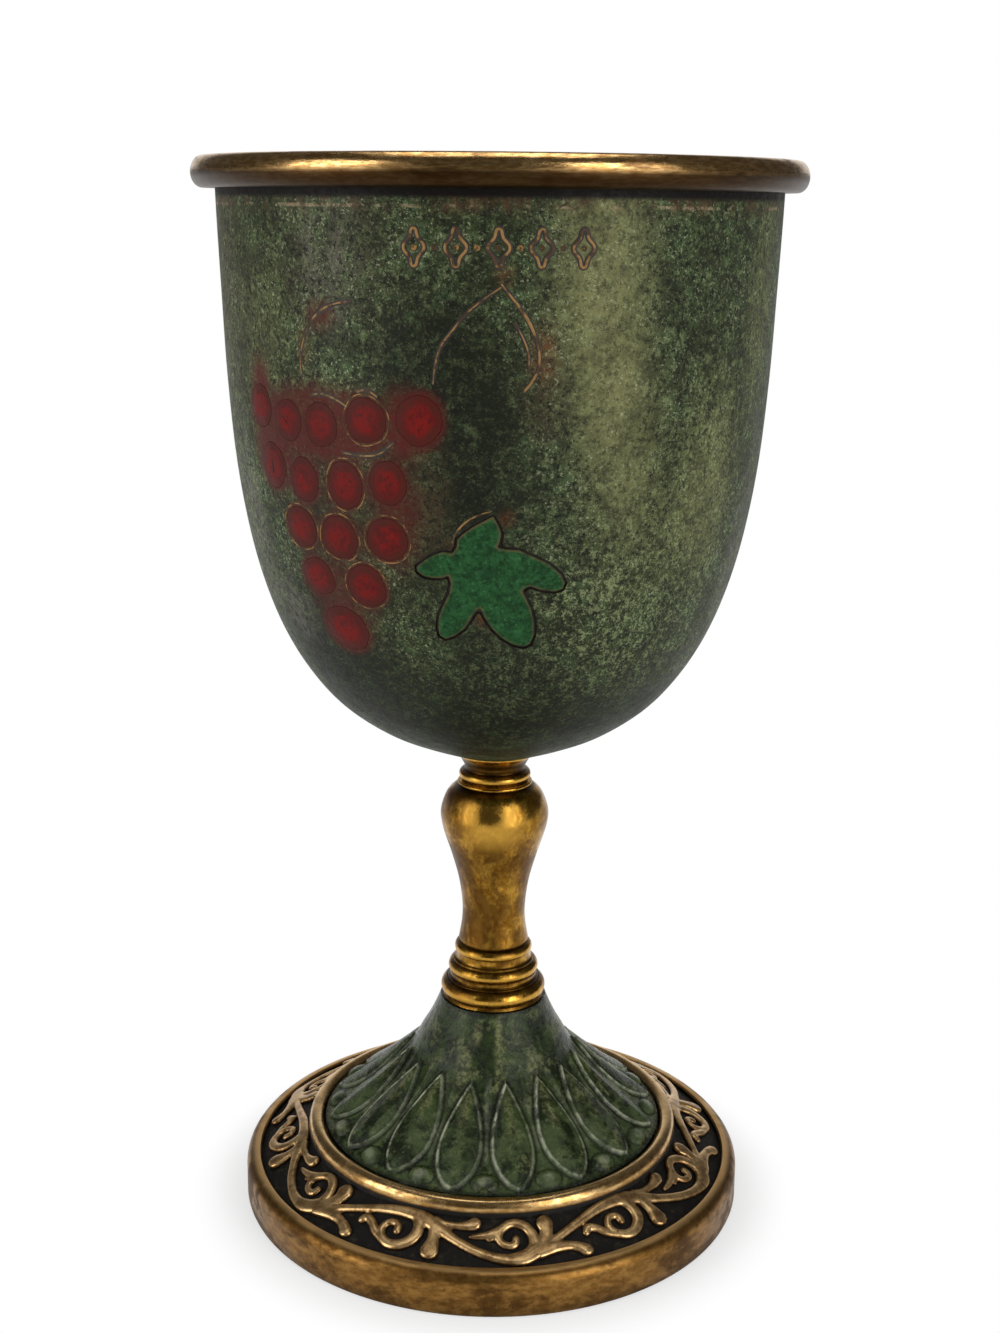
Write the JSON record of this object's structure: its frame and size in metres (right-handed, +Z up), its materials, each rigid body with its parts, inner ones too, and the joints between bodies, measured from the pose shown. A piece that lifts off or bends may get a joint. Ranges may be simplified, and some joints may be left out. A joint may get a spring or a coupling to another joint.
{
  "type": "wine goblet",
  "caption": "Footed metal wine goblet: round spun bowl with inlaid enamel grapes and a vine leaf, turned baluster stem, leaf-cast foot and a round base with a scroll band.",
  "frame": {"origin": "centre of the base, on the table", "axes": "+Z up along the stem, -Y towards the front, where the enamel leaf faces"},
  "size_m": [0.0868, 0.0868, 0.16],
  "materials": {
    "antique_gilt": "antiqued gilt brass, worn bright on its high places",
    "matte_gilt": "matte cast gilt",
    "foot_patina": "glossy dark green patina over cast brass",
    "bowl_patina": "mottled green patina over spun brass",
    "plain_steel": "plain steel",
    "green_enamel": "opaque green enamel, close to glazed ceramic",
    "red_enamel": "opaque red enamel, close to glazed ceramic"
  },
  "bodies": {
    "root": {"base_plinth": "antique_gilt", "scroll_band": "matte_gilt", "foot_bead_ring": "antique_gilt", "leaf_foot": "foot_patina", "stem_collar": "antique_gilt", "stem_baluster": "antique_gilt", "stem_neck": "antique_gilt", "bowl_boss": "antique_gilt", "bowl": "bowl_patina", "rim_bead": "antique_gilt", "tie_rod": "plain_steel", "rod_washer": "plain_steel", "rod_nut": "plain_steel", "leaf_enamel": "green_enamel", "grape_enamel_01": "red_enamel", "grape_enamel_02": "red_enamel", "grape_enamel_03": "red_enamel", "grape_enamel_04": "red_enamel", "grape_enamel_05": "red_enamel", "grape_enamel_06": "red_enamel", "grape_enamel_07": "red_enamel", "grape_enamel_08": "red_enamel", "grape_enamel_09": "red_enamel", "grape_enamel_10": "red_enamel", "grape_enamel_11": "red_enamel", "grape_enamel_12": "red_enamel", "grape_enamel_13": "red_enamel", "grape_enamel_14": "red_enamel", "grape_enamel_15": "red_enamel"}
  },
  "joints": []
}
